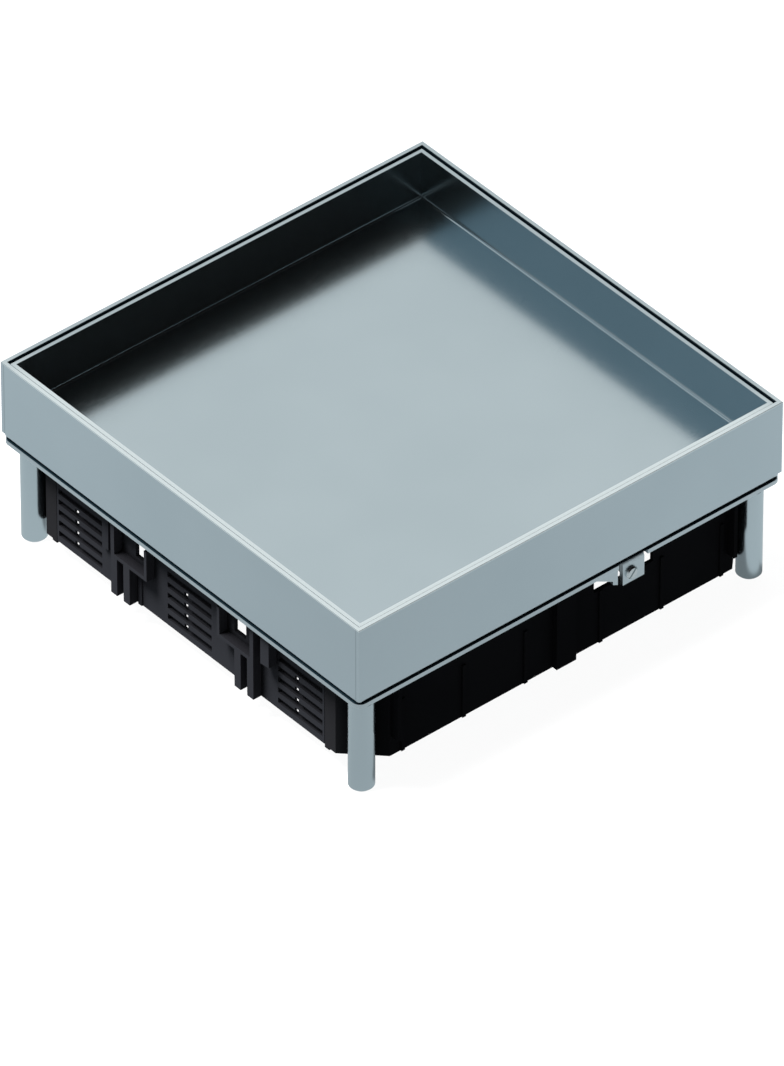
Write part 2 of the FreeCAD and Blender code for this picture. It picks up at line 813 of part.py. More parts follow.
def build_slotted_wall(label, degrees):
    """Straight moulded wall with slots, snap brackets, a gusset block, a bead and a low rib."""
    body = new_body(label)
    plan = sketch_on(body, "XY", "wall_under")
    half = "panel_half - wall_seam"
    rectangle(plan, f"-({half})", "-wall_face", half, "-wall_back")
    pad(body, plan, "wall_height")
    add_slots(body)
    add_wall_flange(body)
    for side in (-1, 1):
        bracket = outline(sketch_on(body, "XZ", "wall_face"), bracket_corners(side))
        pad(body, bracket, "bracket_reach")
        notch = sketch_on(body, "XZ", "wall_face")
        middle = f"{side} * notch_middle + notch_shift"
        edges = [f"{middle} - notch_width / 2", f"{middle} + notch_width / 2"]
        rectangle(notch, edges[0], "wall_under + notch_level", edges[1], "carrier_screw_seat")
        pocket(body, notch, "wall_thickness")
    block = sketch_on(body, "XZ", "wall_face")
    outline(block, (
        ("block_start", "wall_under + block_level"),
        ("block_start + block_width", "wall_under + block_level + block_rise"),
        ("block_start + block_width", "bracket_top"), ("block_start", "bracket_top"),
    ))
    pad(body, block, "bracket_reach")
    low_rib = sketch_on(body, "XZ", "wall_face")
    rectangle(low_rib, "-low_rib_start - low_rib_width", "wall_under + low_rib_level",
              "-low_rib_start", "bracket_top")
    pad(body, low_rib, "low_rib_reach")
    bead = sketch_on(body, "XZ", "wall_face")
    rectangle(bead, "-bead_start - bead_width", "wall_under", "-bead_start", "wall_under + shelf_level")
    pad(body, bead, "bead_reach")
    turn_wall(body, degrees)
    return body


def build_plain_wall(label, degrees):
    """Moulded wall round two chamfered corners, with feet, ribs, clip, fins and tab window."""
    body = new_body(label)
    plan = sketch_on(body, "XY", "plain_under")
    right = (
        ("cut_start", "-wall_face"), ("wall_face", "-cut_start"), ("wall_face", "-panel_half"),
        ("wall_back", "-panel_half"), ("wall_back", "-cut_start + cut_shift"),
        ("cut_start - cut_shift", "-wall_back"),
    )
    left = [(f"-({x})", y) for x, y in reversed(right)]
    outline(plan, list(right) + left)
    pad(body, plan, "wall_height + plain_drop")
    feet = sketch_on(body, "XY", "plain_under")
    for side in (-1, 1):
        rectangle(feet, f"{side} * wall_back", "-panel_half - return_foot",
                  f"{side} * wall_face", "-panel_half")
    pad(body, feet, "return_foot_drop", reverse=True)
    add_wall_flange(body)
    clip = sketch_on(body, "XZ", "wall_face")
    rectangle(clip, "-clip_width / 2", "plain_under", "clip_width / 2", "bracket_top")
    pad(body, clip, "clip_reach")
    ribs = sketch_on(body, "XZ", "wall_face")
    fins = sketch_on(body, "XZ", "wall_face")
    for side in (-1, 1):
        for middle in ("rib_inner", "rib_outer", "rib_corner"):
            rib = [f"{side} * {middle} - rib_width / 2", f"{side} * {middle} + rib_width / 2"]
            rectangle(ribs, rib[0], "plain_under", rib[1], "plate_under - tab_window_depth")
        fin = [f"{side} * fin_offset - fin_thickness / 2", f"{side} * fin_offset + fin_thickness / 2"]
        rectangle(fins, fin[0], "wall_under + fin_rise", fin[1], "bracket_top")
    pad(body, ribs, "rib_reach")
    pad(body, fins, "fin_reach")
    window = sketch_on(body, "XZ", "wall_face")
    rectangle(window, "tab_offset - tab_window_left", "plate_under - tab_window_depth",
              "tab_offset + tab_window_right", "carrier_screw_seat")
    pocket(body, window, "wall_thickness")
    turn_wall(body, degrees)
    return body


def build_earth_screw():
    """Slotted pan-head screw through the tab, turned about its own axis and laid along the tab's normal."""
    body = new_body("earth_screw")
    profile = sketch_on(body, "XZ")
    head = "earth_head_diameter / 2"
    shank = "earth_diameter / 2"
    outline(profile, (
        ("0", "-earth_length"), (shank, "-earth_length"), (shank, "0"), (head, "0"),
        (head, "earth_head_height / 2"), (f"{head} - earth_head_height / 2", "earth_head_height"),
        ("0", "earth_head_height"),
    ))
    revolve(body, profile)
    slot = sketch_on(body, "XY", "earth_head_height")
    rectangle(slot, "-earth_head_diameter", "-earth_slot_width / 2",
              "earth_head_diameter", "earth_slot_width / 2")
    pocket(body, slot, "earth_slot_depth")
    upright = FreeCAD.Rotation(FreeCAD.Vector(1, 0, 0), 90)
    turned = FreeCAD.Rotation(FreeCAD.Vector(0, 0, 1), number("earth_slot_angle"))
    body.Placement = FreeCAD.Placement(FreeCAD.Vector(), upright.multiply(turned))
    body.setExpression("Placement.Base.x", formula("earth_axis"))
    body.setExpression("Placement.Base.y", formula("-tab_face"))
    body.setExpression("Placement.Base.z", formula("earth_level"))
    return body


def build_earth_washer():
    """Washer behind the tab."""
    body = new_body("earth_washer")
    at = ("earth_axis", "earth_level")
    ring = circle(sketch_on(body, "XZ", "tab_back"), at, "earth_washer_diameter / 2")
    circle(ring, at, "earth_diameter / 2 + earth_clearance")
    pad(body, ring, "earth_washer_thickness", reverse=True)
    return body


def build_earth_nut():
    """Hexagon nut behind the washer."""
    body = new_body("earth_nut")
    nut = hexagon(sketch_on(body, "XZ"), "earth_nut_flats")
    circle(nut, ("0", "0"), "earth_diameter / 2 + earth_clearance")
    pad(body, nut, "earth_nut_height", reverse=True)
    body.setExpression("Placement.Base.x", formula("earth_axis"))
    body.setExpression("Placement.Base.y", formula("-tab_back + earth_washer_thickness"))
    body.setExpression("Placement.Base.z", formula("earth_level"))
    return body


def build_all():
    """Every piece of the cover, from the lid down to the legs."""
    pieces = [build_lid_tray(), build_lid_seal(), build_bearer_pad(), build_bearer()]
    pieces += [build_stiffener("lid_stiffener_left", -1), build_stiffener("lid_stiffener_right", 1)]
    pieces += [build_frame(), build_gasket(), build_plate(), build_frame_screws()]
    pieces += [build_slotted_wall("slotted_wall_left", -90), build_slotted_wall("slotted_wall_right", 90)]
    pieces += [build_plain_wall("plain_wall_front", 0), build_plain_wall("plain_wall_back", 180)]
    pieces += [build_carrier_screws(), build_earth_screw(), build_earth_washer(), build_earth_nut()]
    for corner in CORNERS:
        pieces += [build_leg(corner), build_spindle(corner), build_retaining_ring(corner)]
    return pieces


def write_parts(pieces):
    """Checks every object of the document, then writes one file for each piece."""
    doc.recompute()
    for item in doc.Objects:
        if "Invalid" in item.State or "Error" in item.State:
            raise RuntimeError(f"{item.Label} failed: {item.State}")
    for piece in pieces:
        if piece.Shape.isNull() or not piece.Shape.isValid():
            raise RuntimeError(f"{piece.Label} has no valid shape")
    os.makedirs("parts", exist_ok=True)
    for piece in pieces:
        piece.Shape.exportStep(f"parts/{piece.Label}.step")


write_parts(build_all())
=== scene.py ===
"""Dresses the floor box cover: satin steel, black mouldings, threaded spindles and a plain studio."""
import logging
import math
from dataclasses import dataclass
from enum import Enum
from typing import Dict, List, NamedTuple, Optional, Sequence, Tuple, Union

import bmesh
import bpy
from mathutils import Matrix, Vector


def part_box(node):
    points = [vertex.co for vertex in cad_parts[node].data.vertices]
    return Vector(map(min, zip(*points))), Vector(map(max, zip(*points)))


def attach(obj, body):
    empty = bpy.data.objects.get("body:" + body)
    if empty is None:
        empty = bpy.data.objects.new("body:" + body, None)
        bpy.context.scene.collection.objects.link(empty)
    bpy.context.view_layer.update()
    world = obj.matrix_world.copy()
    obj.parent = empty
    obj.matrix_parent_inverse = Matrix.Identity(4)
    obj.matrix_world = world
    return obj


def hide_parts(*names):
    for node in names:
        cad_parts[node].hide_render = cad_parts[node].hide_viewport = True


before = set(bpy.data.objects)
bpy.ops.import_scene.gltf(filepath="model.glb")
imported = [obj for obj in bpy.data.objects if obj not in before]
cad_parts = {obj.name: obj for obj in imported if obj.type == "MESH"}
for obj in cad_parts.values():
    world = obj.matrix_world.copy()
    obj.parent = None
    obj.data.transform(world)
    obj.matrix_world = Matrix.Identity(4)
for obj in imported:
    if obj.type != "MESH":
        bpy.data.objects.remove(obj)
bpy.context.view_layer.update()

logging.basicConfig(level=logging.INFO, format="%(message)s")
LOG = logging.getLogger("floor_box_cover")
Colour = Tuple[float, float, float]
Direction = Tuple[float, float, float]
Material = bpy.types.Material
Mesh = bpy.types.Mesh
Node = bpy.types.Node
Socket = bpy.types.NodeSocket
Tree = bpy.types.NodeTree
Value = Union[float, Sequence[float], Socket]

MM = 0.001
TINY = 1e-6
WHITE: Colour = (1.0, 1.0, 1.0)
GRAIN_HEIGHT = 0.05 * MM
SHARP_ANGLE = math.radians(28)
# Half the width of a cross recess's arm, as a share of its length.
CROSS_ARM = 0.24
# Where most values of a noise, and of a mix of two noises, lie.
NOISE_RANGE = (0.3, 0.7)
TONE_RANGE = (0.2, 0.8)


class Corner(Enum):
    """The four corners of the cover, with the signs of their plan coordinates."""

    FRONT = (-1, -1)
    LEFT = (-1, 1)
    RIGHT = (1, -1)
    BACK = (1, 1)

    @property
    def label(self) -> str:
        """The corner's name as the bodies carry it."""
        return self.name.lower()


class Outline(Enum):
    """The plan outline of one ring of a turned mesh."""

    ROUND = "round"
    HEXAGON = "hexagon"
    CROSS = "cross"

    def reach(self, radius: float, angle: float) -> float:
        """The distance of the outline from the axis.

        Args:
            radius: radius of a round ring, half the flats of a hexagon, or the arm length of a cross.
            angle: direction in radians.

        Returns:
            The distance in the unit of the radius.
        """
        if self is Outline.HEXAGON:
            folded = (angle + math.pi / 6) % (math.pi / 3) - math.pi / 6
            return radius / math.cos(folded)
        if self is Outline.CROSS:
            folded = (angle + math.pi / 4) % (math.pi / 2) - math.pi / 4
            side = max(abs(math.sin(folded)), TINY)
            return min(radius / math.cos(folded), CROSS_ARM * radius / side)
        return radius


class Ring(NamedTuple):
    """One ring of a turned mesh, where a radius of 0 is a pole."""

    radius: float
    height: float
    outline: Outline = Outline.ROUND


class Effect(Enum):
    """Surface effects of the finishes."""

    SATIN_GRAIN = "satin_grain"
    CLOUDY_TONE = "cloudy_tone"
    LEVEL_BAND = "level_band"
    # A mask along edges for a painted highlight.
    EDGE_POLISH = "edge_polish"
    CORNER_SEAM = "corner_seam"
    MOULD_GRAIN = "mould_grain"
    CREVICE = "crevice"
    SIDE_FACE = "side_face"
    CHEEK = "cheek"
    FAR_HALF = "far_half"


class Canvas:
    """Adds nodes to one tree and links them as they are made."""

    def __init__(self, tree: Tree) -> None:
        """Keeps the tree that takes the nodes."""
        self.tree = tree

    @classmethod
    def emptied(cls, owner: Union[Material, bpy.types.World]) -> "Canvas":
        """A canvas on a material or world, cleared of nodes.

        Args:
            owner: the material or world.

        Returns:
            The canvas.
        """
        owner.use_nodes = True
        owner.node_tree.nodes.clear()
        return cls(owner.node_tree)

    def feed(self, socket: Socket, value: Value) -> None:
        """Links a socket to another socket, or sets its own value.

        Args:
            socket: the input to fill.
            value: a socket or a plain value.
        """
        if isinstance(value, Socket):
            self.tree.links.new(value, socket)
        else:
            socket.default_value = value

    def add(self, kind: str, inputs: Optional[Dict] = None, **settings: object) -> Node:
        """Adds a node.

        Args:
            kind: the node's type.
            inputs: values or sockets by input name or number.
            settings: the node's own options.

        Returns:
            The node.
        """
        node = self.tree.nodes.new(kind)
        for name, setting in settings.items():
            setattr(node, name, setting)
        for key, value in (inputs or {}).items():
            self.feed(node.inputs[key], value)
        return node

    def math(self, operation: str, *values: Value) -> Socket:
        """The result of a sum on numbers."""
        return self.add("ShaderNodeMath", dict(enumerate(values)), operation=operation).outputs[0]

    def weigh(self, first: Value, second: Value, share: float) -> Socket:
        """Two tones added, the first with the given share and the second with the rest."""
        rest = self.math("MULTIPLY", second, 1.0 - share)
        return self.math("ADD", self.math("MULTIPLY", first, share), rest)

    def dot(self, first: Value, second: Value) -> Socket:
        """The dot product of two vectors."""
        node = self.add("ShaderNodeVectorMath", {0: first, 1: second}, operation="DOT_PRODUCT")
        return node.outputs["Value"]

    def ramp(self, value: Value, start: Value, end: Value, low: Value = 0.0,
             high: Value = 1.0) -> Socket:
        """A smooth step.

        Args:
            value: what is mapped.
            start: where the step begins.
            end: where the step ends.
            low: the result before the step.
            high: the result after the step.

        Returns:
            The mapped socket.
        """
        inputs = {"Value": value, "From Min": start, "From Max": end, "To Min": low, "To Max": high}
        return self.add("ShaderNodeMapRange", inputs, interpolation_type="SMOOTHSTEP").outputs[0]

    def blend(self, factor: Value, first: Value, second: Value) -> Socket:
        """A colour between two colours.

        Args:
            factor: 0 for the first colour, 1 for the second.
            first: the first colour.
            second: the second colour.

        Returns:
            The blended colour.
        """
        node = self.add("ShaderNodeMix", data_type="RGBA")
        # This node's colours go in at 6 and 7 and come out at 2.
        for index, value in ((0, factor), (6, rgba(first)), (7, rgba(second))):
            self.feed(node.inputs[index], value)
        return node.outputs[2]

    def mix(self, factor: Value, first: Value, second: Value) -> Socket:
        """A shader between two shaders."""
        return self.add("ShaderNodeMixShader", {0: factor, 1: first, 2: second}).outputs[0]

    def place(self) -> Socket:
        """The object coordinates of the surface."""
        return self.add("ShaderNodeTexCoord").outputs["Object"]

    def split(self, vector: Value) -> Sequence[Socket]:
        """The three numbers of a vector."""
        return self.add("ShaderNodeSeparateXYZ", {0: vector}).outputs

    def join(self, x: Value, y: Value, z: Value) -> Socket:
        """A vector from three numbers."""
        return self.add("ShaderNodeCombineXYZ", {0: x, 1: y, 2: z}).outputs[0]

    def noise(self, vector: Value, scale: Value, detail: float = 2.0) -> Socket:
        """Soft noise about one half."""
        inputs = {"Vector": vector, "Scale": scale, "Detail": detail}
        return self.add("ShaderNodeTexNoise", inputs).outputs[0]


def rgba(value: Value) -> Value:
    """A colour of three numbers with full alpha, and anything else as it is.

    Args:
        value: a colour, or something else that a socket takes.

    Returns:
        The value as a colour socket takes it.
    """
    if isinstance(value, (tuple, list)) and len(value) == 3:
        return (*value, 1.0)
    return value


class EffectLibrary:
    """Builds each effect once, as a node group."""

    def __init__(self) -> None:
        """Starts with no effect built."""
        self.made: Dict[Effect, Tree] = {}

    def get(self, effect: Effect) -> Tree:
        """The node group of an effect, built on first use by the method of its name.

        Args:
            effect: which effect.

        Returns:
            The node group.
        """
        if effect not in self.made:
            self.made[effect] = getattr(self, effect.value)()
        return self.made[effect]

    @staticmethod
    def start(effect: Effect, inputs: Dict[str, float], output: str) -> Tuple[Canvas, Sequence[Socket]]:
        """Starts a group.

        Args:
            effect: the effect that it makes.
            inputs: input names with their usual values.
            output: the name of its output.

        Returns:
            The canvas and the sockets of the inputs.
        """
        tree = bpy.data.node_groups.new(effect.value, "ShaderNodeTree")
        for name, usual in inputs.items():
            socket = tree.interface.new_socket(name=name, in_out="INPUT", socket_type="NodeSocketFloat")
            socket.default_value = usual
        tree.interface.new_socket(name=output, in_out="OUTPUT", socket_type="NodeSocketFloat")
        canvas = Canvas(tree)
        return canvas, canvas.add("NodeGroupInput").outputs

    @staticmethod
    def give(canvas: Canvas, value: Socket) -> Tree:
        """Gives a value out of a group, and returns the group."""
        canvas.add("NodeGroupOutput", {0: value})
        return canvas.tree

    def satin_grain(self) -> Tree:
        """Fine rolled grain, drawn out along the sheet.

        Returns:
            The node group.
        """
        canvas, given = self.start(Effect.SATIN_GRAIN, {"Scale": 1500.0, "Stretch": 5.0}, "Tone")
        x, y, z = canvas.split(canvas.place())
        drawn = canvas.join(canvas.math("DIVIDE", x, given["Stretch"]), y, z)
        streaks = canvas.noise(drawn, given["Scale"], detail=3.0)
        specks = canvas.noise(canvas.place(), given["Scale"])
        return self.give(canvas, canvas.weigh(streaks, specks, 0.5))

    def cloudy_tone(self) -> Tree:
        """Broad faint clouds of tone.

        Returns:
            The node group.
        """
        canvas, given = self.start(Effect.CLOUDY_TONE, {"Scale": 14.0}, "Tone")
        tone = canvas.noise(canvas.place(), given["Scale"])
        return self.give(canvas, canvas.ramp(tone, *NOISE_RANGE))

    def level_band(self) -> Tree:
        """A band between two heights.

        Returns:
            The node group.
        """
        usual = {"Low": 0.0, "High": 1.0, "Softness": 0.0001}
        canvas, given = self.start(Effect.LEVEL_BAND, usual, "Mask")
        height = canvas.split(canvas.place())[2]
        below = canvas.math("SUBTRACT", given["Low"], given["Softness"])
        above = canvas.math("ADD", given["High"], given["Softness"])
        rise = canvas.ramp(height, below, given["Low"])
        fall = canvas.ramp(height, above, given["High"])
        return self.give(canvas, canvas.math("MULTIPLY", rise, fall))

    def edge_polish(self) -> Tree:
        """A mask along rounded edges, where a highlight is painted.

        Returns:
            The node group.
        """
        usual = {"Radius": 0.0004, "Flat": 0.995, "Worn": 0.85}
        canvas, given = self.start(Effect.EDGE_POLISH, usual, "Mask")
        rounded = canvas.add("ShaderNodeBevel", {"Radius": given["Radius"]}, samples=6).outputs["Normal"]
        plain = canvas.add("ShaderNodeNewGeometry").outputs["Normal"]
        return self.give(canvas, canvas.ramp(canvas.dot(rounded, plain), given["Flat"], given["Worn"]))

    def corner_seam(self) -> Tree:
        """The butt joint of a folded sheet, on the two faces across X.

        Returns:
            The node group.
        """
        usual = {"Face": 0.121, "Offset": 0.119, "Width": 0.0006}
        canvas, given = self.start(Effect.CORNER_SEAM, usual, "Mask")
        x, y, _ = canvas.split(canvas.place())
        away = canvas.math("SUBTRACT", canvas.math("ABSOLUTE", y), given["Offset"])
        line = canvas.ramp(canvas.math("ABSOLUTE", away), given["Width"], 0.0)
        on_face = canvas.math("GREATER_THAN", canvas.math("ABSOLUTE", x), given["Face"])
        return self.give(canvas, canvas.math("MULTIPLY", line, on_face))

    def mould_grain(self) -> Tree:
        """The pebbled skin of a moulding.

        Returns:
            The node group.
        """
        canvas, given = self.start(Effect.MOULD_GRAIN, {"Scale": 2600.0, "Broad": 9.0}, "Tone")
        cells = canvas.add("ShaderNodeTexVoronoi", {"Vector": canvas.place(), "Scale": given["Scale"]})
        broad = canvas.noise(canvas.place(), canvas.math("DIVIDE", given["Scale"], given["Broad"]))
        return self.give(canvas, canvas.weigh(cells.outputs["Distance"], broad, 0.6))

    def crevice(self) -> Tree:
        """A mask for painted shade: in slots and under overhangs, where little light gets in, and on
        faces that look up.

        Returns:
            The node group.
        """
        usual = {"Reach": 0.012, "Open": 0.96, "Shut": 0.4, "Steep": 0.4, "Level": 0.9}
        canvas, given = self.start(Effect.CREVICE, usual, "Mask")
        inputs = {"Distance": given["Reach"]}
        openness = canvas.add("ShaderNodeAmbientOcclusion", inputs, samples=8).outputs["AO"]
        upward = canvas.split(canvas.add("ShaderNodeNewGeometry").outputs["Normal"])[2]
        shut = canvas.ramp(openness, given["Open"], given["Shut"])
        shelf = canvas.ramp(upward, given["Steep"], given["Level"])
        return self.give(canvas, canvas.math("MAXIMUM", shut, shelf))

    def side_face(self) -> Tree:
        """A mask on what lies farthest out across X, where a lighter tone is painted as light.

        Returns:
            The node group.
        """
        canvas, given = self.start(Effect.SIDE_FACE, {"Start": 0.112, "Softness": 0.0035}, "Mask")
        reach = canvas.math("ABSOLUTE", canvas.split(canvas.place())[0])
        end = canvas.math("ADD", given["Start"], given["Softness"])
        return self.give(canvas, canvas.ramp(reach, given["Start"], end))

    def cheek(self) -> Tree:
        """A mask on the faces that look along Y, where a lighter tone is painted as light.

        Returns:
            The node group.
        """
        canvas, given = self.start(Effect.CHEEK, {"Start": 0.6, "Full": 0.9}, "Mask")
        along = canvas.split(canvas.add("ShaderNodeNewGeometry").outputs["Normal"])[1]
        turned = canvas.math("ABSOLUTE", along)
        return self.give(canvas, canvas.ramp(turned, given["Start"], given["Full"]))

    def far_half(self) -> Tree:
        """A mask over the half of the plan toward the back corner, where the painted rim highlight is
        dimmer.

        Returns:
            The node group.
        """
        canvas, given = self.start(Effect.FAR_HALF, {"Softness": 0.02}, "Mask")
        x, y, _ = canvas.split(canvas.place())
        before = canvas.math("MULTIPLY", given["Softness"], -1.0)
        return self.give(canvas, canvas.ramp(canvas.math("ADD", x, y), before, given["Softness"]))


EFFECTS = EffectLibrary()


@dataclass(frozen=True)
class Finish:
    """What every finish has: a name, two tones of colour and a range of roughness."""

    name: str
    dark: Colour
    light: Colour
    roughness: Tuple[float, float]
    bump: float

    def start(self) -> Tuple[Material, Canvas, Node]:
        """An empty material with its shader.

        Returns:
            The material, its canvas and its principled shader.
        """
        material = bpy.data.materials.new(self.name)
        canvas = Canvas.emptied(material)
        shader = canvas.add("ShaderNodeBsdfPrincipled")
        canvas.add("ShaderNodeOutputMaterial", {"Surface": shader.outputs[0]})
        return material, canvas, shader

    @staticmethod
    def effect(canvas: Canvas, effect: Effect, **values: float) -> Socket:
        """Places an effect.

        Args:
            canvas: the canvas of the material.
            effect: which effect.
            values: the effect's inputs by name, in lower case.

        Returns:
            The effect's first output.
        """
        inputs = {name.capitalize(): value for name, value in values.items()}
        return canvas.add("ShaderNodeGroup", inputs, node_tree=EFFECTS.get(effect)).outputs[0]

    def raise_grain(self, canvas: Canvas, shader: Node, height: Socket) -> None:
        """Feeds a height to the shader's normal."""
        inputs = {"Strength": self.bump, "Distance": GRAIN_HEIGHT, "Height": height}
        canvas.feed(shader.inputs["Normal"], canvas.add("ShaderNodeBump", inputs).outputs[0])


@dataclass(frozen=True)
class SteelFinish(Finish):
    """Satin sheet steel with faint clouds and a glossier rim above its level, with a painted highlight on
    its edges and rim, dimmer on the back half.
    """

    # Colours of the painted rim highlight, at the front and on the back half.
    rim: Colour = (0.88, 0.955, 0.96)
    rim_behind: Colour = (0.54, 0.617, 0.644)
    rim_level: float = 1.0
    rim_gloss: float = 0.22
    # Strength of the painted edge highlight.
    edge: float = 0.35
    grain: float = 1500.0
    stretch: float = 5.0
    cloud_share: float = 0.6
    seam: Optional[float] = None
    seam_share: float = 0.4
    seam_tone: Colour = (0.2, 0.25, 0.28)

    def material(self) -> Material:
        """Makes the material of this finish.

        Returns:
            The material.
        """
        material, canvas, shader = self.start()
        grain = self.effect(canvas, Effect.SATIN_GRAIN, scale=self.grain, stretch=self.stretch)
        clouds = self.effect(canvas, Effect.CLOUDY_TONE)
        colour = canvas.blend(canvas.weigh(clouds, grain, self.cloud_share), self.dark, self.light)
        edges = canvas.math("MULTIPLY", self.effect(canvas, Effect.EDGE_POLISH), self.edge)
        if self.seam:
            joint = self.effect(canvas, Effect.CORNER_SEAM, offset=self.seam)
            colour = canvas.blend(canvas.math("MULTIPLY", joint, self.seam_share), colour, self.seam_tone)
        # The rim band and the edges get a painted highlight colour and a glossier roughness.
        rim = self.effect(canvas, Effect.LEVEL_BAND, low=self.rim_level)
        highlight_and_gloss = canvas.math("MAXIMUM", rim, edges)
        # The painted rim highlight is dimmer on the back half.
        bright = canvas.blend(self.effect(canvas, Effect.FAR_HALF), self.rim, self.rim_behind)
        canvas.feed(shader.inputs["Base Color"], canvas.blend(highlight_and_gloss, colour, bright))
        rough = canvas.ramp(grain, *NOISE_RANGE, *self.roughness)
        canvas.feed(shader.inputs["Roughness"], canvas.ramp(highlight_and_gloss, 0.0, 1.0, rough, self.rim_gloss))
        shader.inputs["Metallic"].default_value = 1.0
        self.raise_grain(canvas, shader, grain)
        return material


@dataclass(frozen=True)
class MouldedFinish(Finish):
    """Black moulding or rubber: pebbled skin, painted edge highlights, painted shade in crevices and on
    upward faces.
    """

    grain: float = 2600.0
    cloud: float = 30.0
    cloud_share: float = 0.5
    # Colour of the painted highlight along edges.
    edge: Colour = (0.05, 0.05, 0.055)
    rub: float = 0.5
    rub_radius: float = 0.3 * MM
    specular: float = 0.3
    # Colour of the painted shade in crevices and on upward faces.
    deep: Colour = (0.004, 0.004, 0.0045)
    # A lighter colour painted as light on the outer ends across X.
    side: Optional[Colour] = None
    # A lighter colour painted as light on faces that look along Y.
    cheek: Optional[Colour] = None

    def material(self) -> Material:
        """Makes the material of this finish.

        Returns:
            The material.
        """
        material, canvas, shader = self.start()
        pebbles = self.effect(canvas, Effect.MOULD_GRAIN, scale=self.grain)
        clouds = self.effect(canvas, Effect.CLOUDY_TONE, scale=self.cloud)
        tone = canvas.weigh(clouds, pebbles, self.cloud_share)
        colour = canvas.blend(tone, self.dark, self.light)
        # The outer ends across X are painted lighter as light.
        if self.side:
            colour = canvas.blend(self.effect(canvas, Effect.SIDE_FACE), colour, self.side)
        edges = self.effect(canvas, Effect.EDGE_POLISH, radius=self.rub_radius)
        # Edges are painted lighter as a highlight.
        edge_lit = canvas.blend(canvas.math("MULTIPLY", edges, self.rub), colour, self.edge)
        # Crevices and upward faces are painted dark as shade.
        shaded = canvas.blend(self.effect(canvas, Effect.CREVICE), edge_lit, self.deep)
        # Faces that look along Y are painted lighter as light, over the painted shade.
        if self.cheek:
            shaded = canvas.blend(self.effect(canvas, Effect.CHEEK), shaded, self.cheek)
        canvas.feed(shader.inputs["Base Color"], shaded)
        canvas.feed(shader.inputs["Roughness"], canvas.ramp(tone, *TONE_RANGE, *self.roughness))
        shader.inputs["Specular IOR Level"].default_value = self.specular
        self.raise_grain(canvas, shader, pebbles)
        return material


TRAY_STEEL = SteelFinish(
    name="satin_tray_steel", dark=(0.55, 0.635, 0.665), light=(0.59, 0.675, 0.705),
    roughness=(0.17, 0.24), bump=0.08, rim_level=96.1 * MM)
FRAME_STEEL = SteelFinish(
    name="satin_frame_steel", dark=(0.54, 0.635, 0.675), light=(0.58, 0.672, 0.712),
    roughness=(0.28, 0.36), bump=0.12, rim_level=96.8 * MM, edge=0.1, seam=119.5 * MM)
PLATE_STEEL = SteelFinish(
    name="zinc_plate_steel", dark=(0.53, 0.61, 0.645), light=(0.61, 0.69, 0.72),
    roughness=(0.3, 0.42), bump=0.2, grain=700.0, stretch=1.5)
LEG_STEEL = SteelFinish(
    name="turned_leg_steel", dark=(0.54, 0.63, 0.665), light=(0.58, 0.67, 0.705),
    roughness=(0.2, 0.26), bump=0.15, grain=2200.0, stretch=8.0)
FASTENER_STEEL = SteelFinish(
    name="bright_fastener_steel", dark=(0.6, 0.66, 0.68), light=(0.68, 0.73, 0.74),
    roughness=(0.2, 0.3), bump=0.1, edge=0.5, grain=3000.0)
# One black moulding in two tones: painted lighter on the slotted walls and darker on the plain walls, as
# light and shade.
SLOTTED_BLACK = MouldedFinish(
    name="worn_moulded_black", dark=(0.0365, 0.0378, 0.0445), light=(0.043, 0.0447, 0.052),
    roughness=(0.5, 0.65), bump=0.3, edge=(0.046, 0.047, 0.054), specular=0.01,
    deep=(0.0115, 0.0115, 0.0135), cheek=(0.062, 0.061, 0.07))
PLAIN_BLACK = MouldedFinish(
    name="plain_moulded_black", dark=(0.013, 0.013, 0.015), light=(0.017, 0.017, 0.0195),
    roughness=(0.5, 0.65), bump=0.3, edge=(0.016, 0.016, 0.018), specular=0.01,
    deep=(0.0115, 0.0115, 0.013), side=(0.029, 0.029, 0.032))
# Blue-black rubber; part of its blue tint is a painted highlight.
GASKET_RUBBER = MouldedFinish(
    name="blue_black_gasket", dark=(0.011, 0.028, 0.042), light=(0.016, 0.036, 0.052),
    roughness=(0.6, 0.8), bump=0.4, grain=1800.0, edge=(0.016, 0.034, 0.048), specular=0.05,
    deep=(0.004, 0.01, 0.014))
SEAL_RUBBER = MouldedFinish(
    name="soft_seal_rubber", dark=(0.0015, 0.0045, 0.0065), light=(0.003, 0.007, 0.0095),
    roughness=(0.6, 0.8), bump=0.4, grain=1800.0, edge=(0.006, 0.01, 0.013), specular=0.02,
    deep=(0.001, 0.003, 0.0045))


class Wardrobe:
    """Makes each material once and puts it on pieces."""

    def __init__(self) -> None:
        """Starts with no material made."""
        self.made: Dict[str, Material] = {}

    def material(self, finish: Finish) -> Material:
        """The material of a finish, made on first use.

        Args:
            finish: the finish.

        Returns:
            The material.
        """
        if finish.name not in self.made:
            self.made[finish.name] = finish.material()
        return self.made[finish.name]

    def dress_nodes(self, finish: Finish, *names: str) -> None:
        """Puts a finish on nodes of the frame.

        Args:
            finish: the finish.
            names: the nodes' names.
        """
        for name in names:
            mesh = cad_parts[name].data
            mesh.materials.clear()
            mesh.materials.append(self.material(finish))
            LOG.info("dressed %s in %s", name, finish.name)


WARDROBE = Wardrobe()


